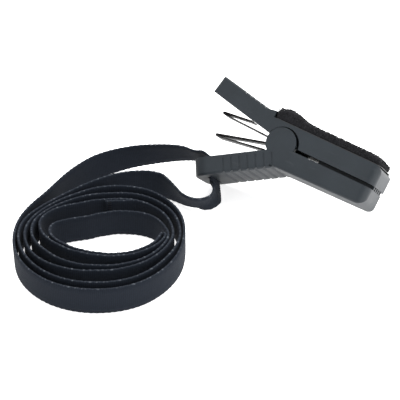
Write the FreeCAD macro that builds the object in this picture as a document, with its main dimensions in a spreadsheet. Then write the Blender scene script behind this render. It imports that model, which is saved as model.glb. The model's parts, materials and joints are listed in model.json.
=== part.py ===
"""Spring clip on a loop of flat webbing.

Two moulded levers turn on a hidden pin and are pushed apart by a folded leaf
spring. The lower lever's tail has a slot, and a closed loop of webbing runs
through it and lies coiled beside the clip.

Clip frame: X along the jaws, Y along the pin, Z from the lower to the upper
jaw, origin at the pin's centre. The clip is then laid on the ground on the
edge of its lower lever, as the placement at the end says.
"""
import FreeCAD, Part
import math
import os

Vector = FreeCAD.Vector
NODE_FOLDER = "parts"

# Driving dimensions, in millimetres and degrees.
DIMENSIONS = [
    ("clip_width", 20.0, "clip, across the cheeks"),
    ("ear_radius", 5.2, "round ears of the lower lever"),
    ("ear_thickness", 2.4, "each ear"),
    ("channel_radius", 6.2, "channel between the ears"),
    ("lug_radius", 4.2, "pierced lugs of the upper lever"),
    ("lug_gap", 0.2, "side clearance between lug and ear"),
    ("lug_thickness", 1.8, "each lug"),
    ("pin_radius", 1.25, "pivot pin"),
    ("pin_seat_depth", 1.3, "blind seat in each ear"),
    ("bore_clearance", 0.05, "radial, lug bore over the pin"),
    ("jaw_reach", 34.2, "upper nose from the pin"),
    ("jaw_setback", 0.4, "lower nose behind the upper"),
    ("lower_jaw_face", -0.9, "height of the lower gripping face"),
    ("upper_jaw_face", 0.28, "height of the upper gripping face"),
    ("lower_jaw_base", -8.0, "underside of the lower jaw, at the heel"),
    ("lower_nose_base", -7.15, "underside of the lower jaw, at the nose"),
    ("upper_jaw_top", 6.75, "flat that carries the loop pad"),
    ("nose_radius", 3.2, "upright corners of both noses"),
    ("lower_nose_sweep", 3.0, "profile corner under the lower nose"),
    ("upper_nose_sweep", 2.2, "profile corner over the upper nose"),
    ("lower_tail_angle", 31.0, "below the jaw line"),
    ("lower_tail_inner", -1.66, "inner face, offset from the pin"),
    ("lower_tail_outer", -7.8, "outer face, offset from the pin"),
    ("lower_tail_length", 31.2, "from the pin"),
    ("upper_tail_angle", 10.85, "above the jaw line"),
    ("upper_tail_inner", 0.42, "inner face, offset from the pin"),
    ("upper_tail_outer", 6.85, "outer face, offset from the pin"),
    ("upper_tail_length", 30.7, "from the pin"),
    ("tail_corner", 5.5, "plan corners of the lower tail"),
    ("upper_tail_corner", 2.5, "plan corners of the upper tail"),
    ("edge_round", 0.9, "outer long edges of the lower lever"),
    ("upper_edge_round", 0.6, "outer long edges of the upper tail"),
    ("rib_pitch", 2.79, "finger ribs on the lower tail"),
    ("rib_start", 3.0, "first rib, along the tail"),
    ("rib_depth", 0.7, "saw-tooth step"),
    ("upper_rib_pitch", 2.1, "finger ribs on the upper tail"),
    ("upper_rib_start", 11.6, "first upper rib, along the tail"),
    ("side_groove_depth", 0.16, "ribs carried round on the lower cheeks"),
    ("upper_groove_depth", 0.07, "ribs carried round on the upper cheeks"),
    ("side_groove_width", 0.5, "ribs carried round on the cheeks"),
    ("grip_start", 13.3, "where the lengthwise grip ridges begin"),
    ("grip_pitch", 2.6, "lengthwise grip ridges"),
    ("grip_width", 1.4, "each ridge"),
    ("grip_gap", 0.05, "ridges over the lower face when shut"),
    ("grip_height", 1.45, "ridges, with their root in the jaw"),
    ("slot_place", 26.3, "strap slot, along the tail"),
    ("slot_height", 1.7, "strap slot"),
    ("slot_width", 11.0, "strap slot"),
    ("slot_stub", 1.4, "flat webbing proud of each face at the slot"),
    ("strip_thickness", 0.4, "leaf spring"),
    ("strip_width", 7.0, "leaf spring"),
    ("film_thickness", 0.2, "adhesive film"),
    ("pad_thickness", 2.6, "loop pad"),
    ("pad_back", 5.8, "pad end behind the pin"),
    ("lip_height", 9.0, "low step that stops the pad's back end"),
    ("pad_inset", 0.3, "pad edge inside the lever's edge"),
    ("pad_setback", 0.8, "pad end behind the upper nose"),
    ("webbing_width", 10.0, "loop webbing"),
    ("webbing_thickness", 0.9, "loop webbing"),
    ("tube_radius", 1.6, "round stand-in with the webbing's section area"),
    ("coil_radius", 28.6, "outside of the coiled webbing"),
    ("coil_hole_long", 18.5, "half length of the coil's open middle"),
    ("coil_hole_short", 9.5, "half width of the coil's open middle"),
    ("coil_turned", 32.5, "heading of the open middle's long side"),
    ("dip", 7.15, "jaws point down by this much"),
    ("lean", -44.1, "clip rolled about its own length"),
]

# The webbing's route on the ground, in millimetres: from the slot to the coil.
UPPER_ROUTE = [
    Vector(-28.4, -6.4, 12.3),
    Vector(-31.3, -7.7, 11.2),
    Vector(-36.5, -7.6, 10.6),
    Vector(-44.6, -9.2, 8.4),
    Vector(-55.4, -13.4, 5.4),
    Vector(-62.6, -24.3, 5.0),
    Vector(-65.0, -37.8, 5.0),
    Vector(-64.0, -49.8, 5.0),
]
LOWER_ROUTE = [
    Vector(-20.9, -13.3, 4.4),
    Vector(-19.2, -16.4, 4.4),
    Vector(-19.0, -20.4, 4.6),
    Vector(-21.5, -23.6, 4.9),
    Vector(-25.4, -24.4, 5.0),
    Vector(-31.0, -22.7, 4.9),
    Vector(-39.9, -20.8, 4.9),
    Vector(-48.9, -27.0, 5.0),
    Vector(-54.4, -36.0, 5.0),
]
COIL_CENTRE = Vector(-35.5, -58.4, 0)
COIL_HOLE_CENTRE = Vector(-38.0, -57.4, 0)
LUG_SPAN = "Dimensions.clip_width - 2 * Dimensions.ear_thickness - 2 * Dimensions.lug_gap"

doc = FreeCAD.newDocument("spring_clip")
sheet = doc.addObject("Spreadsheet::Sheet", "Dimensions")
for row_number, (alias, value, note) in enumerate(DIMENSIONS, start=1):
    sheet.set("A%d" % row_number, alias)
    sheet.set("B%d" % row_number, str(value))
    sheet.set("C%d" % row_number, note)
    sheet.setAlias("B%d" % row_number, alias)
doc.recompute()


def dim(alias):
    """The value of one driving dimension."""
    return float(sheet.get(alias))


# ---------------------------------------------------------------- outlines

def corner(x, z, radius=0.0):
    """One outline point, with the radius that rounds it."""
    return (Vector(x, z, 0), radius)


def rounded_outline(corners):
    """Straight sides joined by tangent arcs, as a closed list of curves."""
    count = len(corners)
    starts, ends, arcs = [], [], []
    for index, (point, radius) in enumerate(corners):
        before = (corners[index - 1][0] - point).normalize()
        after = (corners[(index + 1) % count][0] - point).normalize()
        if radius <= 0:
            starts.append(point)
            ends.append(point)
            arcs.append(None)
            continue
        half = before.getAngle(after) / 2
        reach = radius / math.tan(half)
        centre = point + (before + after).normalize() * (radius / math.sin(half))
        first = point + before * reach
        last = point + after * reach
        middle = centre + (point - centre).normalize() * radius
        starts.append(first)
        ends.append(last)
        arcs.append(Part.Arc(first, middle, last))
    curves = []
    for index in range(count):
        if arcs[index] is not None:
            curves.append(arcs[index])
        following = starts[(index + 1) % count]
        if ends[index].distanceToPoint(following) > 1e-6:
            curves.append(Part.LineSegment(ends[index], following))
    return curves


def tail_point(angle_below, along, offset):
    """A point of a tail: along it from the pin, and off its line towards Z."""
    turn = math.radians(angle_below)
    x = -along * math.cos(turn) - offset * math.sin(turn)
    z = -along * math.sin(turn) + offset * math.cos(turn)
    return x, z


def lower_tail(along, offset):
    return tail_point(dim("lower_tail_angle"), along, offset)


def upper_tail(along, offset):
    return tail_point(-dim("upper_tail_angle"), along, offset)


# ---------------------------------------------------------------- features

def new_body(label):
    body = doc.addObject("PartDesign::Body", label)
    body.Label = label
    return body


def origin_plane(body, role):
    return next(o for o in body.Origin.OriginFeatures if o.Role == role)


def sketch_on(body, name, curves, role="XZ_Plane", lift=0.0):
    """A sketch on one of the body's own planes, moved along its normal."""
    sketch = body.newObject("Sketcher::SketchObject", name)
    sketch.AttachmentSupport = [(origin_plane(body, role), "")]
    sketch.MapMode = "FlatFace"
    sketch.AttachmentOffset = FreeCAD.Placement(Vector(0, 0, lift), FreeCAD.Rotation())
    sketch.addGeometry(curves, False)
    return sketch


def pad(body, name, curves, length, role="XZ_Plane"):
    """Material on both sides of the plane, with its length from the sheet."""
    feature = body.newObject("PartDesign::Pad", name)
    feature.Profile = sketch_on(body, name + "_sketch", curves, role)
    feature.Midplane = True
    feature.setExpression("Length", length)
    doc.recompute()
    return feature


def pocket(body, name, curves, length, role="XZ_Plane"):
    """A cut on both sides of the plane, checked to remove something."""
    volume = body.Shape.Volume
    feature = body.newObject("PartDesign::Pocket", name)
    feature.Profile = sketch_on(body, name + "_sketch", curves, role)
    feature.Midplane = True
    feature.setExpression("Length", length)
    doc.recompute()
    if body.Shape.Volume >= volume:
        raise RuntimeError(name + " cuts nothing")
    return feature


def cheek_pocket(body, name, curves, depth, side):
    """A shallow cut into one cheek; side is -1 for the near one, 1 for the far."""
    volume = body.Shape.Volume
    feature = body.newObject("PartDesign::Pocket", name)
    feature.Profile = sketch_on(body, name + "_sketch", curves,
                                lift=-side * dim("clip_width") / 2)
    feature.setExpression("Length", depth)
    feature.Reversed = side < 0
    doc.recompute()
    if body.Shape.Volume >= volume:
        feature.Reversed = not feature.Reversed
        doc.recompute()
    if body.Shape.Volume >= volume:
        raise RuntimeError(name + " cuts nothing")
    return feature


def round_edges(body, name, radius, chosen):
    """A fillet on the edges that chosen() picks."""
    base = body.Tip
    names = ["Edge%d" % (i + 1) for i, e in enumerate(base.Shape.Edges) if chosen(e)]
    feature = body.newObject("PartDesign::Fillet", name)
    feature.Base = (base, names)
    feature.setExpression("Radius", radius)
    doc.recompute()
    if feature.Shape.isNull() or not feature.Shape.isValid() or "Invalid" in feature.State:
        raise RuntimeError(name + " failed")
    return feature


def plate(body, name, curves, thickness, height):
    """Material of one thickness, upwards from a height."""
    feature = body.newObject("PartDesign::Pad", name)
    feature.Profile = sketch_on(body, name + "_sketch", curves, "XY_Plane", lift=height)
    feature.setExpression("Length", thickness)
    doc.recompute()
    return feature


def circle(radius, x=0.0, z=0.0):
    return [Part.Circle(Vector(x, z, 0), Vector(0, 0, 1), radius)]


def rectangle(x0, x1, z0, z1):
    return rounded_outline([corner(x0, z0), corner(x1, z0), corner(x1, z1), corner(x0, z1)])


def box_of(tail, along0, along1, offset0, offset1):
    """A rectangle in a tail's own directions."""
    return rounded_outline([corner(*tail(along0, offset0)), corner(*tail(along1, offset0)),
                            corner(*tail(along1, offset1)), corner(*tail(along0, offset1))])


def cheek_corner(place):
    """The two edges where an end face, centred at place, meets the cheeks."""
    half = dim("clip_width") / 2

    def chosen(edge):
        middle = edge.CenterOfMass
        at_cheek = abs(abs(middle.y) - half) < 1e-4
        return at_cheek and math.hypot(middle.x - place[0], middle.z - place[1]) < 0.5

    return chosen


def on_outline(*places):
    """The edges that lie within the sides joining these profile places."""
    half = dim("clip_width") / 2

    def chosen(edge):
        middle = edge.CenterOfMass
        if abs(middle.y) < half - 8:
            return False
        for (x0, z0), (x1, z1) in zip(places, places[1:]):
            length = math.hypot(x1 - x0, z1 - z0)
            off = abs((middle.x - x0) * (z1 - z0) - (middle.z - z0) * (x1 - x0)) / length
            along = ((middle.x - x0) * (x1 - x0) + (middle.z - z0) * (z1 - z0)) / length
            if off < 0.02 and -0.1 < along < length + 0.1:
                return True
        return False

    return chosen


def round_nose(body, name, nose):
    """Cuts the two upright corners off a nose, leaving round ones."""
    half = dim("clip_width") / 2
    radius = dim("nose_radius")
    waste = []
    for side in (-1, 1):
        start = Vector(nose - radius, side * half, 0)
        finish = Vector(nose, side * (half - radius), 0)
        diagonal = radius * math.sqrt(0.5)
        middle = Vector(nose - radius + diagonal, side * (half - radius + diagonal), 0)
        far = Vector(nose + 1, side * (half + 1), 0)
        waste.append(Part.Arc(start, middle, finish))
        waste.append(Part.LineSegment(finish, Vector(far.x, finish.y, 0)))
        waste.append(Part.LineSegment(Vector(far.x, finish.y, 0), far))
        waste.append(Part.LineSegment(far, Vector(start.x, far.y, 0)))
        waste.append(Part.LineSegment(Vector(start.x, far.y, 0), start))
    pocket(body, name, waste, "40 mm", role="XY_Plane")


# -------------------------------------------------------------- lower lever

def saw_teeth(tail, start, pitch, count, face, outward, depth):
    """One triangle for each rib: a steep side towards the pin, a long ramp back."""
    triangles = []
    for index in range(count):
        along = start + index * pitch
        proud = face + outward * 0.6
        deep = face - outward * depth
        triangles.extend(rounded_outline([
            corner(*tail(along, proud)),
            corner(*tail(along, deep)),
            corner(*tail(along + pitch * 0.8, proud)),
        ]))
    return triangles


def make_lower_lever():
    body = new_body("lower_lever")
    face = dim("lower_jaw_face")
    base = dim("lower_jaw_base")
    nose = dim("jaw_reach") - dim("jaw_setback")
    ear = dim("ear_radius")
    inner = dim("lower_tail_inner")
    outer = dim("lower_tail_outer")
    end = dim("lower_tail_length")
    ear_front = Vector(math.sqrt(ear ** 2 - face ** 2), face, 0)
    ear_back = Vector(*lower_tail(math.sqrt(ear ** 2 - inner ** 2), inner), 0)
    turn = math.radians(dim("lower_tail_angle"))
    heel_along = (-base + outer * math.cos(turn)) / math.sin(turn)
    outline = rounded_outline([
        corner(ear_back.x, ear_back.y),
        corner(*lower_tail(end, inner)),
        corner(*lower_tail(end, outer)),
        corner(*lower_tail(heel_along, outer), 3.0),
        corner(nose, dim("lower_nose_base"), dim("lower_nose_sweep")),
        corner(nose, face),
        corner(ear_front.x, ear_front.y),
    ])
    outline.pop()  # the straight side under the ear gives way to its round
    outline.append(Part.Arc(ear_front, Vector(0, ear, 0), ear_back))
    pad(body, "lower_profile", outline, "Dimensions.clip_width")

    tail_end = lower_tail(end, (inner + outer) / 2)
    round_edges(body, "tail_end_rounding", "Dimensions.tail_corner", cheek_corner(tail_end))
    round_edges(body, "lower_outer_edges", "Dimensions.edge_round",
                on_outline(lower_tail(end, outer), lower_tail(heel_along, outer),
                           (nose, dim("lower_nose_base"))))
    round_nose(body, "lower_nose_corners", nose)

    pocket(body, "ear_channel", circle(dim("channel_radius")),
           "Dimensions.clip_width - 2 * Dimensions.ear_thickness")
    pocket(body, "pin_seats", circle(dim("pin_radius")),
           "Dimensions.clip_width - 2 * Dimensions.ear_thickness + 2 * Dimensions.pin_seat_depth")
    pocket(body, "strap_slot",
           box_of(lower_tail, dim("slot_place") - dim("slot_height") / 2,
                  dim("slot_place") + dim("slot_height") / 2, outer - 2, inner + 2),
           "Dimensions.slot_width")
    pocket(body, "finger_ribs",
           saw_teeth(lower_tail, dim("rib_start"), dim("rib_pitch"), 7, outer, -1, dim("rib_depth")),
           "Dimensions.clip_width + 2")
    for side, word in ((-1, "near"), (1, "far")):
        grooves = []
        for index in range(7):
            along = dim("rib_start") + index * dim("rib_pitch")
            grooves.extend(box_of(lower_tail, along, along + dim("side_groove_width"),
                                  outer - 0.5, inner - 1.0))
        cheek_pocket(body, "rib_grooves_" + word, grooves, "Dimensions.side_groove_depth", side)
        cheek_pocket(body, "gate_mark_" + word, rectangle(-0.2, 1.0, -8.45, -7.95),
                     "Dimensions.side_groove_depth * 3", side)
    return body


# -------------------------------------------------------------- upper lever

def make_upper_lever():
    body = new_body("upper_lever")
    face = dim("upper_jaw_face")
    top = dim("upper_jaw_top")
    nose = dim("jaw_reach")
    inner = dim("upper_tail_inner")
    outer = dim("upper_tail_outer")
    end = dim("upper_tail_length")
    cup = Vector(0.45, -0.35, 0)
    cup_radius = dim("ear_radius") + 0.7
    cup_front = Vector(cup.x + math.sqrt(cup_radius ** 2 - (face - cup.y) ** 2), face, 0)
    cup_back_height = 1.55
    cup_back_reach = math.sqrt(cup_radius ** 2 - (cup_back_height - cup.y) ** 2)
    cup_back = Vector(cup.x - cup_back_reach, cup_back_height, 0)
    crook = upper_tail(9.9, outer)
    outline = rounded_outline([
        corner(cup_front.x, cup_front.y),
        corner(nose, face),
        corner(nose, top, dim("upper_nose_sweep")),
        corner(-6.1, top),
        corner(-6.1, dim("lip_height")),
        corner(crook[0], crook[1]),
        corner(*upper_tail(end, outer)),
        corner(*upper_tail(end, inner)),
        corner(cup_back.x - 0.7, cup_back.y),
        corner(cup_back.x, cup_back.y),
    ])
    outline.pop()  # the side across the cup gives way to its round
    outline.append(Part.Arc(cup_back, cup + Vector(0, cup_radius, 0), cup_front))
    pad(body, "upper_profile", outline, "Dimensions.clip_width")
    round_nose(body, "upper_nose_corners", nose)
    round_edges(body, "upper_tail_end_rounding", "Dimensions.upper_tail_corner",
                cheek_corner(upper_tail(end, (inner + outer) / 2)))
    round_edges(body, "upper_outer_edges", "Dimensions.upper_edge_round",
                on_outline(upper_tail(end, outer), crook))

    lug = dim("lug_radius")
    neck_top = cup_radius + 0.5
    pad(body, "lugs",
        [Part.LineSegment(Vector(-lug, 0, 0), Vector(-lug, neck_top, 0)),
         Part.LineSegment(Vector(-lug, neck_top, 0), Vector(lug, neck_top, 0)),
         Part.LineSegment(Vector(lug, neck_top, 0), Vector(lug, 0, 0)),
         Part.Arc(Vector(lug, 0, 0), Vector(0, -lug, 0), Vector(-lug, 0, 0))],
        LUG_SPAN)
    pocket(body, "spring_room", circle(cup_radius - 0.1), LUG_SPAN + " - 2 * Dimensions.lug_thickness")
    pocket(body, "pin_bores", circle(dim("pin_radius") + dim("bore_clearance")), LUG_SPAN + " + 0.4")
    pocket(body, "upper_finger_ribs",
           saw_teeth(upper_tail, dim("upper_rib_start"), dim("upper_rib_pitch"), 5, outer, 1,
                     dim("rib_depth")),
           "Dimensions.clip_width + 2")
    for side, word in ((-1, "near"), (1, "far")):
        grooves = []
        for index in range(-1, 6):
            along = dim("upper_rib_start") + index * dim("upper_rib_pitch")
            grooves.extend(box_of(upper_tail, along, along + dim("side_groove_width"),
                                  inner + 0.6, outer - 0.3))
        cheek_pocket(body, "upper_rib_grooves_" + word, grooves, "Dimensions.upper_groove_depth", side)

    ridges = []
    for index in range(-2, 3):
        middle = index * dim("grip_pitch")
        ridges.extend(rectangle(dim("grip_start"), nose - dim("jaw_setback"),
                                middle - dim("grip_width") / 2, middle + dim("grip_width") / 2))
    plate(body, "grip_ridges", ridges, "Dimensions.grip_height",
          dim("lower_jaw_face") + dim("grip_gap"))
    return body


# -------------------------------------------------------------- small pieces

def make_pivot_pin():
    pin = doc.addObject("Part::Cylinder", "pivot_pin")
    pin.Label = "pivot_pin"
    pin.setExpression("Radius", "Dimensions.pin_radius")
    pin.setExpression("Height", "Dimensions.clip_width - 2 * Dimensions.ear_thickness"
                                " + 2 * Dimensions.pin_seat_depth - 0.1")
    doc.recompute()
    across = FreeCAD.Rotation(Vector(1, 0, 0), -90)
    pin.Placement = FreeCAD.Placement(Vector(0, -pin.Height.Value / 2, 0), across)
    return pin


def tangent_heading(start, start_radius, finish, finish_radius):
    """Heading of the line touching two bends; a left-hand bend has radius > 0."""
    gap = finish - start
    step = finish_radius - start_radius
    return math.atan2(gap.y, gap.x) - math.asin(step / gap.Length)


def strip_side(stations, offset):
    """One side of a bent strip, offset to the left of its middle line."""
    curves = []
    here = None
    for index, (centre, radius) in enumerate(stations[:-1]):
        after, after_radius = stations[index + 1]
        heading = tangent_heading(centre, radius, after, after_radius)
        left = Vector(-math.sin(heading), math.cos(heading), 0)
        leave = centre - left * (radius - offset)
        if here is not None:
            start_heading = here[1]
            turned = (heading - start_heading) % (2 * math.pi)
            if radius < 0:
                turned -= 2 * math.pi
            half_way = start_heading + turned / 2
            half_left = Vector(-math.sin(half_way), math.cos(half_way), 0)
            curves.append(Part.Arc(here[0], centre - half_left * (radius - offset), leave))
        arrive = after - left * (after_radius - offset)
        curves.append(Part.LineSegment(leave, arrive))
        here = (arrive, heading)
    return curves


def make_leaf_spring():
    """A strip folded to and fro: tail, outward fold, middle bend at the pin, fold, tail."""
    body = new_body("leaf_spring")
    half = dim("strip_thickness") / 2
    fold = -0.35
    stations = [
        (Vector(-6.4, -3.85, 0), 0.0),
        (Vector(-23.9, -6.25, 0), fold),
        (Vector(-2.6, 0.1, 0), 0.4),
        (Vector(-25.0, 1.5, 0), fold),
        (Vector(-14.8, 2.95, 0), 0.0),
    ]
    upper = strip_side(stations, half)
    lower = strip_side(stations, -half)
    caps = [
        Part.LineSegment(lower[0].StartPoint, upper[0].StartPoint),
        Part.LineSegment(upper[-1].EndPoint, lower[-1].EndPoint),
    ]
    pad(body, "strip", upper + lower + caps, "Dimensions.strip_width")
    return body


def nose_plan(back, front, half_width, radius):
    """Plan of a layer on the upper jaw, with the nose's round corners."""
    return rounded_outline([
        corner(back, -half_width, 1.0), corner(front, -half_width, radius),
        corner(front, half_width, radius), corner(back, half_width, 1.0),
    ])


def make_layer(label, thickness, height):
    """A flat layer that covers the upper jaw."""
    body = new_body(label)
    inset = dim("pad_inset")
    plan = nose_plan(-dim("pad_back"), dim("jaw_reach") - dim("pad_setback"),
                     dim("clip_width") / 2 - inset, dim("nose_radius") - inset)
    plate(body, label + "_layer", plan, thickness, height)
    return body


# ----------------------------------------------------------------- webbing

def round_path(points):
    """Straight runs joined by tangent arcs that take 0.45 of the shorter run."""
    edges = []
    radii = []
    here = points[0]
    for before, point, after in zip(points, points[1:], points[2:]):
        run = min(point.distanceToPoint(before), point.distanceToPoint(after))
        back = (before - point).normalize()
        onward = (after - point).normalize()
        turn = math.pi - back.getAngle(onward)
        reach = 0.45 * run
        radius = reach / math.tan(turn / 2)
        centre = point + (back + onward).normalize() * math.hypot(radius, reach)
        first = point + back * reach
        last = point + onward * reach
        middle = centre + (point - centre).normalize() * radius
        edges.append(Part.LineSegment(here, first).toShape())
        edges.append(Part.Arc(first, middle, last).toShape())
        radii.append(round(radius, 1))
        here = last
    edges.append(Part.LineSegment(here, points[-1]).toShape())
    return Part.Wire(edges), radii


def make_tube(label, points):
    """A plain round tube along the route."""
    path, radii = round_path(points)
    radius = dim("tube_radius")
    start = points[0]
    profile = Part.Wire(Part.makeCircle(radius, start, points[1] - start))
    tube = doc.addObject("Part::Feature", label)
    tube.Label = label
    tube.Shape = path.makePipeShell([profile], True, True)
    tube.Placement = FreeCAD.Placement()
    swept = math.pi * radius ** 2 * path.Length
    print(label, "length", round(path.Length, 1), "radii", radii,
          "volume ratio", round(tube.Shape.Volume / swept, 4))
    return tube


def make_strap_in_slot(clip_place):
    """The flat stretch through the slot, standing a little proud of both faces."""
    block = doc.addObject("Part::Box", "strap_in_slot")
    block.Label = "strap_in_slot"
    block.setExpression("Length", "Dimensions.lower_tail_inner - Dimensions.lower_tail_outer"
                                  " + 2 * Dimensions.slot_stub")
    block.setExpression("Width", "Dimensions.webbing_width")
    block.setExpression("Height", "Dimensions.webbing_thickness")
    doc.recompute()
    x, z = lower_tail(dim("slot_place") - dim("webbing_thickness") / 2,
                      dim("lower_tail_outer") - dim("slot_stub"))
    through = FreeCAD.Rotation(Vector(0, 1, 0), -90 - dim("lower_tail_angle"))
    here = FreeCAD.Placement(Vector(x, -dim("webbing_width") / 2, z), through)
    block.Placement = clip_place.multiply(here)
    return block


def make_strap_coil():
    """The outer shape of the coiled webbing: a low ring with an oval middle."""
    drum = doc.addObject("Part::Cylinder", "coil_drum")
    drum.setExpression("Radius", "Dimensions.coil_radius")
    drum.setExpression("Height", "Dimensions.webbing_width")
    drum.Placement.Base = COIL_CENTRE
    oval = doc.addObject("Part::Ellipse", "coil_oval")
    oval.setExpression("MajorRadius", "Dimensions.coil_hole_long")
    oval.setExpression("MinorRadius", "Dimensions.coil_hole_short")
    oval.Placement = FreeCAD.Placement(COIL_HOLE_CENTRE - Vector(0, 0, 1),
                                       FreeCAD.Rotation(Vector(0, 0, 1), dim("coil_turned")))
    hole = doc.addObject("Part::Extrusion", "coil_hole")
    hole.Base = oval
    hole.Dir = Vector(0, 0, 1)
    hole.LengthFwd = dim("webbing_width") + 2
    hole.Solid = True
    ring = doc.addObject("Part::Cut", "strap_coil")
    ring.Label = "strap_coil"
    ring.Base = drum
    ring.Tool = hole
    doc.recompute()
    return ring


# -------------------------------------------------------------- assembly

lower_lever = make_lower_lever()
upper_lever = make_upper_lever()
pivot_pin = make_pivot_pin()
leaf_spring = make_leaf_spring()
adhesive_film = make_layer("adhesive_film", "Dimensions.film_thickness", dim("upper_jaw_top"))
loop_pad = make_layer("loop_pad", "Dimensions.pad_thickness",
                      dim("upper_jaw_top") + dim("film_thickness"))
clip_pieces = [lower_lever, upper_lever, pivot_pin, leaf_spring, adhesive_film, loop_pad]

# The clip leans over on the edge of its lower lever. Its box stands on the
# ground, centred over the origin.
lying = FreeCAD.Rotation(0, dim("dip"), dim("lean"))
low = Vector(1e9, 1e9, 1e9)
high = Vector(-1e9, -1e9, -1e9)
for piece in clip_pieces:
    turned = piece.Shape.copy()
    turned.Placement = FreeCAD.Placement(Vector(), lying).multiply(turned.Placement)
    box = turned.optimalBoundingBox(True, False)
    low = Vector(min(low.x, box.XMin), min(low.y, box.YMin), min(low.z, box.ZMin))
    high = Vector(max(high.x, box.XMax), max(high.y, box.YMax), max(high.z, box.ZMax))
pivot = Vector(-(low.x + high.x) / 2, -(low.y + high.y) / 2, -low.z)
clip_place = FreeCAD.Placement(pivot, lying)
for piece in clip_pieces:
    piece.Placement = clip_place.multiply(piece.Placement)

strap_in_slot = make_strap_in_slot(clip_place)
slot_ends = []
for offset in (dim("lower_tail_inner") + dim("slot_stub"), dim("lower_tail_outer") - dim("slot_stub")):
    x, z = lower_tail(dim("slot_place"), offset)
    slot_ends.append(clip_place.multVec(Vector(x, 0, z)))
strap_upper = make_tube("strap_upper", [slot_ends[0]] + UPPER_ROUTE)
strap_lower = make_tube("strap_lower", [slot_ends[1]] + LOWER_ROUTE)
strap_coil = make_strap_coil()
strap_pieces = [strap_in_slot, strap_upper, strap_lower, strap_coil]

doc.recompute()
print("pivot", pivot, "slot ends", slot_ends)
print("pin axis", lying.multVec(Vector(0, 1, 0)), "jaw face normal", lying.multVec(Vector(0, 0, 1)))

for item in doc.Objects:
    if "Invalid" in item.State or "Error" in item.State:
        raise RuntimeError(item.Label + " is " + str(item.State))
pieces = clip_pieces + strap_pieces
for piece in pieces:
    if piece.Shape.isNull() or not piece.Shape.isValid() or len(piece.Shape.Solids) != 1:
        raise RuntimeError(piece.Label + " has no sound solid")
os.makedirs(NODE_FOLDER, exist_ok=True)
for piece in pieces:
    piece.Shape.exportStep(os.path.join(NODE_FOLDER, piece.Label + ".step"))
    print(piece.Label, round(piece.Shape.Volume, 1))
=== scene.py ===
"""Looks for a spring clip on a closed loop of flat webbing."""
import json
import math

import bpy
import numpy as np
from mathutils import Matrix, Vector


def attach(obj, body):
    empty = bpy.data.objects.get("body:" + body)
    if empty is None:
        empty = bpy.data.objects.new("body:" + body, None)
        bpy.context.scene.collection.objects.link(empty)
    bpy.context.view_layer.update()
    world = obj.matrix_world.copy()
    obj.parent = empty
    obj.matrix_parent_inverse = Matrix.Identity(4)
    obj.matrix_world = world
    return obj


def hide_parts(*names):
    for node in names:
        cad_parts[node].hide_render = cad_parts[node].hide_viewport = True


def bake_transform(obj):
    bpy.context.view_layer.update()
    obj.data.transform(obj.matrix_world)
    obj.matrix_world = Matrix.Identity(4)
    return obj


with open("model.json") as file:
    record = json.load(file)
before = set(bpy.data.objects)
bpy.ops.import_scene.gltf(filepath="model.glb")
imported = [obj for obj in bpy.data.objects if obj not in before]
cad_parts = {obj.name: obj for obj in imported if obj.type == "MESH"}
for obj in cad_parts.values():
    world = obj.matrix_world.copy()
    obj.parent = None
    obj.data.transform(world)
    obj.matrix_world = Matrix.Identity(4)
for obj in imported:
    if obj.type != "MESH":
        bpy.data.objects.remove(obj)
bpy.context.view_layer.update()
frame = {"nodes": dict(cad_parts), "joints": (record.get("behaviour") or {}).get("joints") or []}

MM = 0.001
LOWER, UPPER = "lower_clip", "upper_clip"
scene = bpy.context.scene
scene.view_settings.view_transform = "Standard"

# The clip's own frame: X along the jaws, Y along the pin, Z up through the jaws.
PIVOT = Vector(frame["joints"][0]["pos_m"])
DIP, LEAN = math.radians(7.15), math.radians(-44.1)
LYING = Matrix.Rotation(DIP, 3, "Y") @ Matrix.Rotation(LEAN, 3, "X")
CLIP = Matrix.Translation(PIVOT) @ LYING.to_4x4() @ Matrix.Scale(MM, 4)
PIN = Vector(LYING.col[1])


def clip_point(x, y, z):
    """A point given in the clip's frame, in millimetres, as a place in metres."""
    return CLIP @ Vector((x, y, z))


# ------------------------------------------------------------------ camera

def make_camera():
    data = bpy.data.cameras.new("photo_view")
    data.sensor_width = 36
    data.lens = 118.7
    camera = bpy.data.objects.new("photo_view", data)
    scene.collection.objects.link(camera)
    azimuth, elevation, distance = math.radians(32.5), math.radians(37), 0.45
    ahead = Vector((-math.sin(azimuth) * math.cos(elevation),
                    math.cos(azimuth) * math.cos(elevation), -math.sin(elevation)))
    target = Vector((-0.02564, -0.01582, -0.0002))
    camera.location = target - ahead * distance
    camera.rotation_euler = ahead.to_track_quat("-Z", "Y").to_euler()
    scene.camera = camera


make_camera()


# --------------------------------------------------------------- materials

def new_material(name, colour, roughness, **sockets):
    """A material with its even values on the shader's own sockets."""
    material = bpy.data.materials.new(name)
    material.use_nodes = True
    shader = material.node_tree.nodes["Principled BSDF"]
    shader.inputs["Base Color"].default_value = (*colour, 1)
    shader.inputs["Roughness"].default_value = roughness
    for socket, value in sockets.items():
        shader.inputs[socket.replace("_", " ")].default_value = value
    return material, material.node_tree, shader


def add(tree, kind, **settings):
    node = tree.nodes.new("ShaderNode" + kind)
    for key, value in settings.items():
        if hasattr(node, key):
            setattr(node, key, value)
        else:
            node.inputs[key.replace("_", " ")].default_value = value
    return node


def noise(tree, scale, detail=3.0, stretch=(1, 1, 1)):
    """Noise in the frame's own metres; scale is features per metre."""
    place = add(tree, "TexCoord")
    mapping = add(tree, "Mapping")
    mapping.inputs["Scale"].default_value = stretch
    tree.links.new(place.outputs["Object"], mapping.inputs["Vector"])
    texture = add(tree, "TexNoise", Scale=scale, Detail=detail)
    tree.links.new(mapping.outputs["Vector"], texture.inputs["Vector"])
    return texture.outputs["Fac"]


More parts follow.
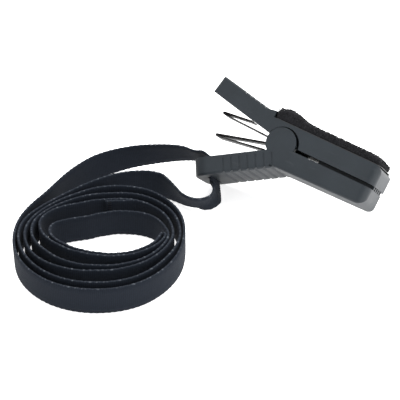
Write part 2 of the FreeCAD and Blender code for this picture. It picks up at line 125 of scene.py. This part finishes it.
def ramp(tree, value, *stops):
    """A colour or grey ramp: stops are (position, colour)."""
    node = tree.nodes.new("ShaderNodeValToRGB")
    points = node.color_ramp.elements
    while len(points) < len(stops):
        points.new(0.5)
    for point, (position, colour) in zip(points, stops):
        point.position = position
        point.color = (*colour, 1) if len(colour) == 3 else (colour[0],) * 3 + (1,)
    tree.links.new(value, node.inputs["Fac"])
    return node.outputs["Color"]


def mix(tree, factor, first, second, blend="MIX"):
    node = tree.nodes.new("ShaderNodeMix")
    node.data_type = "RGBA"
    node.blend_type = blend
    for socket, value in ((node.inputs[0], factor), (node.inputs[6], first), (node.inputs[7], second)):
        if isinstance(value, bpy.types.NodeSocket):
            tree.links.new(value, socket)
        elif isinstance(value, tuple):
            socket.default_value = (*value, 1)
        else:
            socket.default_value = value
    return node.outputs[2]


def maths(tree, operation, *values):
    node = tree.nodes.new("ShaderNodeMath")
    node.operation = operation
    for socket, value in zip(node.inputs, values):
        if isinstance(value, bpy.types.NodeSocket):
            tree.links.new(value, socket)
        else:
            socket.default_value = value
    return node.outputs[0]


def bump(tree, shader, height, strength, distance):
    node = add(tree, "Bump", Strength=strength, Distance=distance)
    tree.links.new(height, node.inputs["Height"])
    tree.links.new(node.outputs["Normal"], shader.inputs["Normal"])


def plastic_material():
    """Dark satin moulding: spark-eroded grain, faint flow and rub marks."""
    material, tree, shader = new_material("moulded_grey", (0.013, 0.017, 0.022), 0.5, Specular_IOR_Level=0.3)
    cloud = noise(tree, 90, 4)
    fine = noise(tree, 5200, 2)
    rubs = noise(tree, 700, 5, (0.25, 1, 1))
    colour = ramp(tree, cloud, (0.3, (0.010, 0.014, 0.018)), (0.7, (0.014, 0.019, 0.024)))
    worn = ramp(tree, rubs, (0.64, (0, 0, 0)), (0.74, (1, 1, 1)))
    colour = mix(tree, maths(tree, "MULTIPLY", worn, 0.12), colour, (0.07, 0.076, 0.083))
    tree.links.new(colour, shader.inputs["Base Color"])
    rough = ramp(tree, cloud, (0.3, (0.46,)), (0.7, (0.55,)))
    tree.links.new(rough, shader.inputs["Roughness"])
    bump(tree, shader, fine, 0.35, 0.00003)
    return material


def steel_material():
    """Thin spring strip, oiled dark, with rolling lines along it."""
    material, tree, shader = new_material("dark_spring_strip", (0.03, 0.03, 0.032), 0.5, Metallic=0.35)
    lines = noise(tree, 2600, 3, (0.08, 1, 1))
    cloud = noise(tree, 240, 4)
    colour = ramp(tree, cloud, (0.3, (0.014, 0.014, 0.016)), (0.7, (0.040, 0.038, 0.038)))
    tree.links.new(colour, shader.inputs["Base Color"])
    rough = ramp(tree, lines, (0.35, (0.44,)), (0.65, (0.58,)))
    tree.links.new(rough, shader.inputs["Roughness"])
    bump(tree, shader, lines, 0.25, 0.00002)
    return material


def film_material():
    material, tree, shader = new_material("adhesive_film", (0.012, 0.012, 0.013), 0.5)
    cloud = noise(tree, 900, 4)
    tree.links.new(ramp(tree, cloud, (0.3, (0.008, 0.008, 0.009)), (0.7, (0.02, 0.02, 0.021))),
                   shader.inputs["Base Color"])
    bump(tree, shader, cloud, 0.3, 0.00004)
    return material


def webbing_material():
    """Near-black cross-ribbed webbing, with painted shade in its rib grooves and a painted highlight on its
    two edges and the picks along them.
    """
    material, tree, shader = new_material("woven_webbing", (0.008, 0.011, 0.016), 0.85, Sheen_Weight=0.02,
                                          Sheen_Roughness=0.45, Specular_IOR_Level=0.14)
    shader.inputs["Sheen Tint"].default_value = (0.75, 0.8, 0.9, 1)
    along = add(tree, "Attribute", attribute_name="along").outputs["Fac"]
    across = add(tree, "Attribute", attribute_name="across").outputs["Fac"]
    place = add(tree, "CombineXYZ")
    tree.links.new(maths(tree, "MULTIPLY", along, 1000), place.inputs[0])
    tree.links.new(maths(tree, "MULTIPLY", across, 5), place.inputs[1])
    yarn = add(tree, "TexNoise", Scale=1.9, Detail=4)
    tree.links.new(place.outputs[0], yarn.inputs["Vector"])
    warp = add(tree, "TexWave", Scale=1.35, Distortion=1.2, Detail=2, Detail_Scale=2.5)
    warp.bands_direction = "Y"
    tree.links.new(place.outputs[0], warp.inputs["Vector"])
    body = mix(tree, yarn.outputs["Fac"], (0.005, 0.008, 0.014), (0.012, 0.017, 0.027))
    body = mix(tree, maths(tree, "MULTIPLY", warp.outputs["Fac"], 0.35), body, (0.006, 0.007, 0.010))
    # Where crest is low, in the rib grooves, the colour is painted darker: painted shade between the cross
    # ribs.
    crest = add(tree, "Attribute", attribute_name="crest").outputs["Fac"]
    body = mix(tree, maths(tree, "SUBTRACT", 1, crest), body, (0.003, 0.004, 0.006))
    # The two edges are painted paler, and dashes at their picks paler still: a painted highlight on the
    # selvedge.
    dashes = add(tree, "TexNoise", Scale=0.9, Detail=3)
    squeezed = add(tree, "Mapping")
    squeezed.inputs["Scale"].default_value = (1.0, 0.25, 1)
    tree.links.new(place.outputs[0], squeezed.inputs["Vector"])
    tree.links.new(squeezed.outputs["Vector"], dashes.inputs["Vector"])
    picks = ramp(tree, dashes.outputs["Fac"], (0.53, (0, 0, 0)), (0.66, (1, 1, 1)))
    rim_highlight = ramp(tree, maths(tree, "ABSOLUTE", across), (0.94, (0, 0, 0)), (0.985, (1, 1, 1)))
    pick_highlight = maths(tree, "MULTIPLY", picks, rim_highlight)
    body = mix(tree, maths(tree, "MULTIPLY", rim_highlight, 0.25), body, (0.018, 0.022, 0.029))
    body = mix(tree, maths(tree, "MULTIPLY", pick_highlight, 0.6), body, (0.085, 0.095, 0.11))
    tree.links.new(body, shader.inputs["Base Color"])
    height = maths(tree, "ADD", maths(tree, "MULTIPLY", warp.outputs["Fac"], 0.5), yarn.outputs["Fac"])
    bump(tree, shader, height, 0.5, 0.00006)
    return material


def pile_material(name, low, high):
    material, tree, shader = new_material(name, low, 0.9, Sheen_Weight=0.04, Sheen_Roughness=0.5,
                                          Specular_IOR_Level=0.12)
    cloud = noise(tree, 1600, 4)
    tree.links.new(ramp(tree, cloud, (0.3, low), (0.7, high)), shader.inputs["Base Color"])
    bump(tree, shader, noise(tree, 3200, 3), 0.8, 0.00015)
    return material


PLASTIC = plastic_material()
STEEL = steel_material()
FILM = film_material()
WEBBING = webbing_material()
PILE = pile_material("loop_pile", (0.005, 0.005, 0.006), (0.012, 0.012, 0.014))
FIBRE = pile_material("loop_fibre", (0.008, 0.008, 0.009), (0.022, 0.022, 0.025))
THREAD = pile_material("seam_thread", (0.006, 0.006, 0.007), (0.014, 0.014, 0.016))


def dress(node, material):
    """A CAD node shows with this material."""
    for slot in frame["nodes"][node].material_slots:
        slot.link = "OBJECT"
        slot.material = material


for node, material in (("lower_lever", PLASTIC), ("upper_lever", PLASTIC), ("pivot_pin", STEEL),
                       ("adhesive_film", FILM)):
    dress(node, material)


# ------------------------------------------------------------- mesh helpers

def new_piece(name, points, faces, material):
    """A smooth-shaded mesh piece."""
    mesh = bpy.data.meshes.new(name)
    mesh.from_pydata([tuple(p) for p in points], [], faces)
    mesh.update()
    mesh.polygons.foreach_set("use_smooth", [True] * len(mesh.polygons))
    mesh.materials.append(material)
    piece = bpy.data.objects.new(name, mesh)
    scene.collection.objects.link(piece)
    return piece


def skin(rings, sides):
    """Quads between rings of points, with the two ends filled."""
    faces = []
    for ring in range(rings - 1):
        here, there = ring * sides, (ring + 1) * sides
        for side in range(sides):
            after = (side + 1) % sides
            faces.append((here + side, here + after, there + after, there + side))
    faces.append(tuple(range(sides - 1, -1, -1)))
    faces.append(tuple(range((rings - 1) * sides, rings * sides)))
    return faces


def even(line, step):
    """The same line with points a fixed step apart, and their distances along it."""
    walked = np.concatenate([[0], np.cumsum(np.linalg.norm(np.diff(line, axis=0), axis=1))])
    at = np.arange(0, walked[-1], step)
    return np.stack([np.interp(at, walked, line[:, k]) for k in range(3)], axis=1), at


def unit(v):
    """The same directions at length 1."""
    return v / np.linalg.norm(v, axis=-1, keepdims=True)


# ----------------------------------------------------------------- webbing

HALF_WIDTH = 5.0 * MM
HALF_THICK = 0.44 * MM
RIB = 0.31 * MM  # half of one cross rib

# The routes of the two strands, from the slot's faces to the coil.
UPPER_ROUTE = [(-25.6, -7.2, 11.1), (-28.4, -6.4, 12.3), (-31.3, -7.7, 11.2), (-36.5, -7.6, 10.6),
               (-44.6, -9.2, 8.4), (-55.4, -13.4, 5.4), (-62.6, -24.3, 5.0), (-65.0, -37.8, 5.0),
               (-64.0, -49.8, 5.0)]
LOWER_ROUTE = [(-22.5, -11.5, 6.3), (-20.9, -13.3, 4.4), (-19.2, -16.4, 4.4), (-19.0, -20.4, 4.6),
               (-21.5, -23.6, 4.9), (-25.4, -24.4, 5.0), (-31.0, -22.7, 5.0), (-39.9, -20.8, 5.0),
               (-48.9, -27.0, 5.0), (-54.4, -36.0, 5.0)]

# The doubled loop winds inwards round this middle. Each strand's list says how many
# millimetres out its loose turns lie, by degrees turned from +X.
COIL_MIDDLE = (-35.634, -58.312)
UPPER_TURNS = [
    (180, 28.2), (210, 27.9), (240, 28.0), (270, 27.8), (300, 27.4), (330, 27.4), (360, 26.6), (390, 26.1),
    (420, 27.0), (450, 27.0), (480, 25.2), (510, 22.9), (530, 23.0), (540, 23.5), (550, 24.4), (570, 24.8),
    (600, 23.2), (630, 20.2), (660, 18.4), (690, 19.0), (720, 20.8), (750, 22.8), (780, 22.1), (810, 20.3),
    (840, 17.7), (870, 17.6), (895, 20.6), (908, 22.0), (922, 21.2), (935, 18.2), (960, 13.9), (990, 11.2),
    (1020, 10.9), (1050, 12.6), (1080, 16.2), (1104, 20.2)]
LOWER_TURNS = [
    (150, 25.2), (165, 24.4), (180, 25.0), (195, 26.4), (210, 26.7), (240, 25.7), (270, 24.8), (300, 24.1),
    (330, 24.3), (360, 24.0), (390, 25.0), (420, 24.9), (450, 23.6), (480, 21.0), (510, 20.8), (530, 21.3),
    (540, 22.2), (550, 23.2), (565, 23.2), (580, 21.7), (600, 19.0), (630, 16.9), (660, 15.9), (690, 17.0),
    (720, 19.3), (750, 21.5), (780, 18.5), (810, 13.4), (840, 10.5), (870, 9.8), (893, 11.6), (908, 15.2),
    (920, 18.3), (935, 16.3), (960, 12.3), (990, 10.0), (1020, 9.7), (1050, 11.4), (1080, 14.8), (1104, 18.6)]
LAST_TURN = 1100
FOLD = 1113
TURN_STEP = 15
CUT_INSIDE = 0.9914  # a turn's line runs this much closer in than its control points
UPPER_FOLD = [(1108, 20.4), (FOLD, 20.2), (FOLD, 19.5)]
LOWER_FOLD = [(1108, 18.5), (FOLD, 18.8), (FOLD, 19.5)]


def turn_point(degrees, out):
    """A point of the coil, halfway up the webbing, in millimetres."""
    angle = math.radians(degrees)
    return (COIL_MIDDLE[0] + out * math.cos(angle), COIL_MIDDLE[1] + out * math.sin(angle),
            HALF_WIDTH / MM)


def route(straight, turns, fold):
    """All the control points of one strand, in metres."""
    points = list(straight)
    angles, outs = zip(*turns)
    for degrees in range(angles[0], LAST_TURN, TURN_STEP):
        points.append(turn_point(degrees, float(np.interp(degrees, angles, outs)) / CUT_INSIDE))
    points += [turn_point(*place) for place in fold]
    return [tuple(c * MM for c in p) for p in points]


def smooth_line(name, points):
    """The points that Blender gives for a NURBS curve through a route."""
    curve = bpy.data.curves.new(name, "CURVE")
    curve.dimensions = "3D"
    curve.resolution_u = 12
    spline = curve.splines.new("NURBS")
    spline.points.add(len(points) - 1)
    for point, place in zip(spline.points, points):
        point.co = (*place, 1)
    spline.order_u = 3
    spline.use_endpoint_u = True
    holder = bpy.data.objects.new(name, curve)
    mesh = bpy.data.meshes.new_from_object(holder)
    line = np.array([v.co for v in mesh.vertices])
    bpy.data.objects.remove(holder)
    bpy.data.meshes.remove(mesh)
    bpy.data.curves.remove(curve)
    return line


def width_directions(line, at, stations):
    """Which way the webbing runs at each point, and which way its width points, square to that."""
    places = [s[0] * MM for s in stations]
    wanted = np.array([tuple(s[1]) for s in stations])
    width = np.stack([np.interp(at, places, wanted[:, k]) for k in range(3)], axis=1)
    ahead = unit(np.gradient(line, axis=0))
    width = unit(width - (width * ahead).sum(1, keepdims=True) * ahead)
    return ahead, width


# The webbing's section: shares of the half width and of the half thickness.
SECTION = [(-1.0, 0.0), (-0.985, 0.55), (-0.94, 0.95), (-0.55, 1.0), (0.0, 1.0), (0.55, 1.0), (0.94, 0.95),
           (0.985, 0.55), (1.0, 0.0), (0.985, -0.55), (0.94, -0.95), (0.55, -1.0), (0.0, -1.0), (-0.55, -1.0),
           (-0.94, -0.95), (-0.985, -0.55)]


def ribbon(name, line, stations, half_width=HALF_WIDTH):
    """Flat webbing with real cross ribs along a line, and its line as it then lies."""
    line, at = even(line, RIB)
    ahead, width = width_directions(line, at, stations)
    across = np.cross(ahead, width)
    reach_down = half_width * abs(width[:, 2]) + HALF_THICK * abs(across[:, 2])
    line[:, 2] = np.maximum(line[:, 2], reach_down)  # its lower edge rests on the floor
    ribbed = np.where(np.arange(len(at)) % 2 == 0, 1.0, 0.0)
    rng = np.random.default_rng(4)
    picks = 0.5 + 0.5 * np.cos(2 * math.pi * at / (1.9 * MM) + 0.6 * np.sin(at / 0.011))
    picks += np.abs(rng.normal(0, 0.25, len(at)))
    points = np.empty((len(at), len(SECTION), 3))
    for k, (w, n) in enumerate(SECTION):
        edge = 1.0 if abs(w) > 0.93 else 0.0  # only the edges take the ribs and picks
        wide = half_width * w * (1 - edge * (0.010 * (1 - ribbed) + 0.028 * picks))
        thick = HALF_THICK * n * (0.86 + 0.14 * ribbed)
        points[:, k] = line + width * wide[:, None] + across * thick[:, None]
    piece = new_piece(name, points.reshape(-1, 3), skin(len(at), len(SECTION)), WEBBING)
    mesh = piece.data
    along = mesh.attributes.new("along", "FLOAT", "POINT")
    along.data.foreach_set("value", np.repeat(at, len(SECTION)))
    side = mesh.attributes.new("across", "FLOAT", "POINT")
    side.data.foreach_set("value", np.tile([w for w, _ in SECTION], len(at)))
    # crest is 1 on the rib crests and lower in the grooves; the webbing material paints shade into the
    # grooves with it.
    crest = mesh.attributes.new("crest", "FLOAT", "POINT")
    crest.data.foreach_set("value", np.repeat(0.45 + 0.55 * ribbed, len(SECTION)))
    return piece, line, ahead, width


upright = Vector((0, 0, 1))
upper_line = smooth_line("upper_route", route(UPPER_ROUTE, UPPER_TURNS, UPPER_FOLD))
lower_line = smooth_line("lower_route", route(LOWER_ROUTE, LOWER_TURNS, LOWER_FOLD))
upper_widths = [(0, -PIN), (5, (0.08, -0.62, 0.78)), (12, (0.05, -0.45, 0.89)), (20, (0.05, -0.30, 0.95)),
                (34, (0, -0.05, 1)), (45, (-0.10, 0.12, 0.98)), (62, upright)]
lower_widths = [(0, -PIN), (4, -PIN), (9, (0.10, -0.62, 0.78)), (14, (0.12, -0.60, 0.79)),
                (19, (0.12, -0.50, 0.85)), (30, upright)]
upper_strap, upper_line, upper_ahead, upper_width = ribbon("upper_strand", upper_line, upper_widths)
lower_strap, lower_line, lower_ahead, lower_width = ribbon("lower_strand", lower_line, lower_widths)
slot_line = np.linspace(upper_line[0], lower_line[0], 40)
in_slot, *_ = ribbon("webbing_in_slot", slot_line, [(0, -PIN), (9, -PIN)])


LAP_FROM, LAP_TO = 812, 843  # degrees turned
THREAD_RADIUS = 0.10 * MM
STITCHES, STITCH_PITCH, STITCH_REACH = 11, 0.88 * MM, 0.55 * MM


def seam_lap():
    """The webbing's sewn joint: its cut end lapped on the inner face, and a bar of thread."""
    offset = np.array(COIL_MIDDLE) * MM
    turned = np.degrees(np.unwrap(np.arctan2(upper_line[:, 1] - offset[1], upper_line[:, 0] - offset[0])))
    turned += 360 * round((FOLD - turned[-1]) / 360)
    start, end = np.searchsorted(turned, LAP_FROM), np.searchsorted(turned, LAP_TO)
    inward = np.cross(upper_ahead, upper_width)
    rise = np.minimum(1.0, np.arange(end - start) / 12)  # the hidden end sinks into the strand
    lap_line = upper_line[start:end] - inward[start:end] * rise[:, None] * 0.9 * MM
    lap, *_ = ribbon("lapped_end", lap_line, [(0, upright), (20, upright)], half_width=4.9 * MM)
    points, faces = [], []
    middle = lap_line[-6] - inward[end] * 0.47 * MM
    ahead = upper_ahead[end]
    for stitch in range(STITCHES):
        height = (stitch - (STITCHES - 1) / 2) * STITCH_PITCH
        centre = middle + np.array((0, 0, height))
        base = len(points)
        for ring in range(7):
            swing = math.pi * ring / 6
            for side in range(6):
                turn = 2 * math.pi * side / 6
                out = (math.sin(swing) + math.cos(turn)) * THREAD_RADIUS
                points.append(centre - ahead * math.cos(swing) * STITCH_REACH - inward[end] * out
                              + np.array((0, 0, math.sin(turn) * THREAD_RADIUS)))
        faces += [tuple(i + base for i in face) for face in skin(7, 6)]
    stitches = new_piece("seam_stitches", points, faces, THREAD)
    return lap, stitches


lapped_end, seam_stitches = seam_lap()
for piece in (upper_strap, lower_strap, in_slot, lapped_end, seam_stitches):
    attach(piece, LOWER)
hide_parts("strap_upper", "strap_coil")
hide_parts("strap_lower")
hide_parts("strap_in_slot")


# ------------------------------------------------------------- leaf spring

SPRING_HALF = 3.5  # millimetres, as the next one
SPRING_THICK = 0.4


def strip_centre():
    """The folded strip's middle line in the clip's frame: straights and bends."""
    stations = [((-6.4, -3.85), 0.0), ((-23.9, -6.25), -0.35), ((-2.6, 0.1), 0.4),
                ((-25.0, 1.5), -0.35), ((-14.8, 2.95), 0.0)]
    line, heading_in = [], None
    for (centre, radius), (after, after_radius) in zip(stations, stations[1:]):
        centre, after = Vector(centre), Vector(after)
        gap = after - centre
        heading = math.atan2(gap.y, gap.x) - math.asin((after_radius - radius) / gap.length)
        if heading_in is not None:
            turned = (heading - heading_in) % (2 * math.pi)
            if radius < 0:
                turned -= 2 * math.pi
            for step in range(1, 12):
                h = heading_in + turned * step / 12
                line.append(centre - Vector((-math.sin(h), math.cos(h))) * radius)
        left = Vector((-math.sin(heading), math.cos(heading)))
        leave, arrive = centre - left * radius, after - left * after_radius
        line += [leave.lerp(arrive, step / 16) for step in range(17)]
        heading_in = heading
    return line


def make_spring():
    """The folded strip, built in place along its middle line."""
    line = np.array([tuple(p) for p in strip_centre()])
    ahead = unit(np.gradient(line, axis=0))
    left = np.stack([-ahead[:, 1], ahead[:, 0]], axis=1)
    half, skim = SPRING_HALF, SPRING_THICK / 2
    points = []
    for place, side in zip(line, left):
        for y, t in ((-half, -0.1), (-half, 0.1), (-half + 0.1, skim), (0, skim), (half - 0.1, skim),
                     (half, 0.1), (half, -0.1), (half - 0.1, -skim), (0, -skim), (-half + 0.1, -skim)):
            spot = place + side * t
            points.append(clip_point(spot[0], y, spot[1]))
    piece = new_piece("folded_spring", points, skin(len(line), 10), STEEL)
    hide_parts("leaf_spring")
    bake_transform(piece)
    return piece


make_spring()


# --------------------------------------------------------------- loop pad

# The pad's plan in the clip's frame, in millimetres.
PAD_BACK, PAD_FRONT, PAD_HALF, PAD_CORNER = -5.8, 32.4, 9.7, 3.4
PAD_SIDES = 96


def pad_outline(inset):
    """Points round the pad's plan, this far inside its edge."""
    back, front, half = PAD_BACK + inset, PAD_FRONT - inset, PAD_HALF - inset
    corners = [((front - PAD_CORNER, half - PAD_CORNER), PAD_CORNER, 0), ((back + 1, half - 1), 1, 90),
               ((back + 1, -half + 1), 1, 180), ((front - PAD_CORNER, -half + PAD_CORNER), PAD_CORNER, 270)]
    line = []
    for (x, y), radius, first in corners:
        for step in range(7):
            angle = math.radians(first + 15 * step)
            line.append((x + radius * math.cos(angle), y + radius * math.sin(angle), 0))
    line.append(line[0])
    line = np.array(line)
    walked = np.concatenate([[0], np.cumsum(np.linalg.norm(np.diff(line, axis=0), axis=1))])
    at = np.linspace(0, walked[-1], PAD_SIDES, endpoint=False)
    return np.stack([np.interp(at, walked, line[:, k]) for k in range(2)], axis=1)


def pad_crown(x):
    """How far the pad stands over its even thickness: puffed behind, drooping at the nose."""
    puffed = 1.8 * math.exp(-((x + 1.5) / 5.0) ** 2)
    return puffed - 0.5 * max(0.0, (x - 29.5) / 3.0) ** 2


def make_pad():
    """A woven backing with a raised pile, thickest in the middle and ragged at the edges."""
    rng = np.random.default_rng(11)
    rings = [(0.0, 6.98), (0.0, 7.3), (-0.2, 8.0), (-0.15, 8.6), (0.1, 9.15), (0.6, 9.4), (1.5, 9.5),
             (3.0, 9.55), (5.0, 9.55), (7.5, 9.55)]  # inset, height
    points = []
    for inset, height in rings:
        for x, y in pad_outline(inset):
            rough = rng.normal(0, 0.10 if height > 7.5 else 0.02, 3)
            share = min(1.0, max(0.0, (height - 7.2) / 1.95))
            lift = height + rough[2] * 0.8 + share * pad_crown(x)
            points.append(clip_point(x + rough[0], y + rough[1], lift))
    faces = skin(len(rings), PAD_SIDES)
    return new_piece("loop_pad_backing", points, faces, PILE)


def make_pile(count=5200):
    """Small raised loops all over the pad and out over its edges."""
    rng = np.random.default_rng(5)
    points, faces = [], []
    outline = pad_outline(0.1)
    for loop in range(count):
        if loop % 4 == 0:
            x, y = outline[rng.integers(len(outline))] + rng.normal(0, 0.25, 2)
            height = rng.uniform(7.4, 9.35) + 0.6 * pad_crown(x)
            middle = np.array((np.clip(x, -4, 30), np.clip(y, -7.5, 7.5)))
            out = np.array((x, y)) - middle
            out = Vector((out[0], out[1], 0.0)).normalized() * 0.8 + Vector((0, 0, 0.6))
        else:
            x, y = rng.uniform(-5.6, 32.2), rng.uniform(-9.6, 9.6)
            if x > 29.0 and abs(y) > 6.3 and math.hypot(x - 29.0, abs(y) - 6.3) > 3.4:
                continue
            height = 9.35 + pad_crown(x)
            out = Vector((rng.normal(0, 0.5), rng.normal(0, 0.5), 1))
        out.normalize()
        side = out.orthogonal().normalized()
        side.rotate(Matrix.Rotation(rng.uniform(0, 6.283), 3, out))
        third = out.cross(side)
        reach, spread = rng.uniform(0.25, 0.6), rng.uniform(0.15, 0.38)
        thick = rng.uniform(0.035, 0.06)
        root = Vector((x, y, height))
        base = len(points)
        lean = rng.normal(0, 0.25)
        for ring in range(6):
            swing = math.pi * ring / 5
            middle = (root + side * math.cos(swing) * spread + out * math.sin(swing) * reach
                      + third * lean * math.sin(swing) * reach)
            away = side * math.cos(swing) + out * math.sin(swing)
            for turn in range(3):
                angle = 2 * math.pi * turn / 3
                points.append(clip_point(*(middle + away * math.cos(angle) * thick
                                           + third * math.sin(angle) * thick)))
        faces += [tuple(i + base for i in face) for face in skin(6, 3)]
    return new_piece("loop_pile", points, faces, FIBRE)


pad, pile = make_pad(), make_pile()
for piece in (pad, pile):
    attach(piece, UPPER)
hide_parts("loop_pad")


# ------------------------------------------------------------------- stage

def make_stage():
    material, tree, shader = new_material("pale_floor", (0.86, 0.86, 0.86), 0.7, Emission_Strength=0.7)
    shader.inputs["Emission Color"].default_value = (1, 1, 1, 1)
    cloud = noise(tree, 3, 2)
    tree.links.new(ramp(tree, cloud, (0.3, (0.85, 0.85, 0.855)), (0.7, (0.875, 0.875, 0.875))),
                   shader.inputs["Base Color"])
    floor = new_piece("floor", [(-3, -3, 0), (3, -3, 0), (3, 3, 0), (-3, 3, 0)], [(0, 1, 2, 3)], material)
    world = bpy.data.worlds.new("studio")
    world.use_nodes = True
    world.node_tree.nodes["Background"].inputs["Color"].default_value = (1, 1, 1, 1)
    world.node_tree.nodes["Background"].inputs["Strength"].default_value = 0.5
    scene.world = world
    lamps = [("overhead", (-0.15, 0.45, 1.1), 1.6, 42), ("side", (1.1, -0.1, 0.5), 0.9, 8),
             ("front", (-0.3, -1.2, 0.8), 1.0, 4)]
    for name, place, size, power in lamps:
        data = bpy.data.lights.new(name, "AREA")
        data.size = size
        data.energy = power
        lamp = bpy.data.objects.new(name, data)
        lamp.location = place
        lamp.rotation_euler = (Vector((-0.02, -0.02, 0)) - Vector(place)).to_track_quat("-Z", "Y").to_euler()
        scene.collection.objects.link(lamp)


make_stage()
